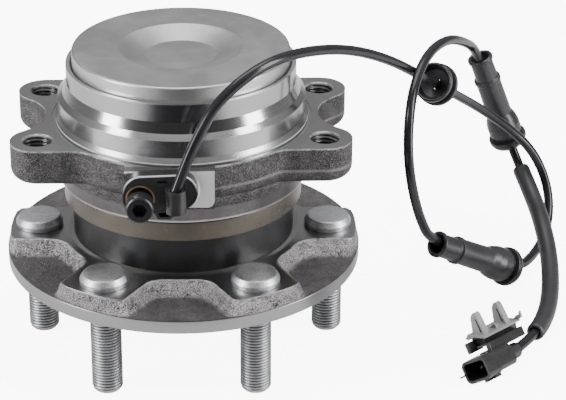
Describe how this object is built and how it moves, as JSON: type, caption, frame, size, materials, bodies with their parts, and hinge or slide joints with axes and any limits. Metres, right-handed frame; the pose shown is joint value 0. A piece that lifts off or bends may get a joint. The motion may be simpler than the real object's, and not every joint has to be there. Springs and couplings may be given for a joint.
{
  "type": "wheel hub bearing",
  "caption": "Flanged wheel hub bearing with threaded knuckle ears, pressed studs, an end cap and a speed sensor on a lead with grommets and a connector.",
  "frame": {"origin": "bottom centre: on the wheel axis, at the plane of the stud tips", "axes": "+Z along the wheel axis from the stud tips to the end cap, +X along the longer side of the knuckle bolt rectangle, and -Y towards the sensor pad"},
  "size_m": [0.2299, 0.1726, 0.1331],
  "materials": {
    "forged_steel": "rough forging with turned faces",
    "pressed_steel": "satin",
    "bearing_steel": "ground and polished",
    "zinc_steel": "zinc plated",
    "black_steel": "blackened, satin",
    "black_coat": "gloss",
    "dust_ring_coat": "matte tan",
    "brass": "satin",
    "tinned_contacts": "bright",
    "black_rubber": "matte",
    "black_plastic": "matte",
    "grey_plastic": "matte",
    "cage_plastic": "matte"
  },
  "bodies": {
    "housing": {"outer_ring": "forged_steel", "end_cap": "pressed_steel", "dust_ring": "dust_ring_coat", "outboard_seal_case": "pressed_steel", "outboard_seal_lip": "black_rubber", "sensor_body": "black_plastic", "sensor_oring": "black_rubber", "sensor_bush": "brass", "sensor_screw": "black_steel", "sensor_lead": "black_rubber", "lead_sleeve": "black_rubber", "grommet_short": "black_rubber", "grommet_lower": "black_rubber", "grommet_upper": "black_rubber", "connector_shell": "black_plastic", "connector_terminals": "tinned_contacts", "connector_seal": "black_rubber", "clip_holder": "black_plastic", "mounting_clip": "grey_plastic"},
    "hub": {"hub_flange": "forged_steel", "inner_ring": "bearing_steel", "wheel_studs": "zinc_steel", "dust_sleeve": "black_coat", "encoder_ring": "pressed_steel", "seal_slinger": "pressed_steel"},
    "outboard_row": {"outboard_balls": "bearing_steel", "outboard_cage": "cage_plastic"},
    "inboard_row": {"inboard_balls": "bearing_steel", "inboard_cage": "cage_plastic"}
  },
  "joints": [
    {"name": "hub_spin", "type": "hinge", "parent": "housing", "child": "hub", "pos_m": [0, 0, 0.088], "axis": [0, 0, 1], "continuous": true},
    {"name": "outboard_cage_spin", "type": "hinge", "parent": "housing", "child": "outboard_row", "pos_m": [0, 0, 0.075], "axis": [0, 0, 1], "continuous": true},
    {"name": "inboard_cage_spin", "type": "hinge", "parent": "housing", "child": "inboard_row", "pos_m": [0, 0, 0.101], "axis": [0, 0, 1], "continuous": true}
  ],
  "couplings": [
    {"joint": "outboard_cage_spin", "follows": "hub_spin", "ratio": 0.4295},
    {"joint": "inboard_cage_spin", "follows": "hub_spin", "ratio": 0.4295}
  ]
}
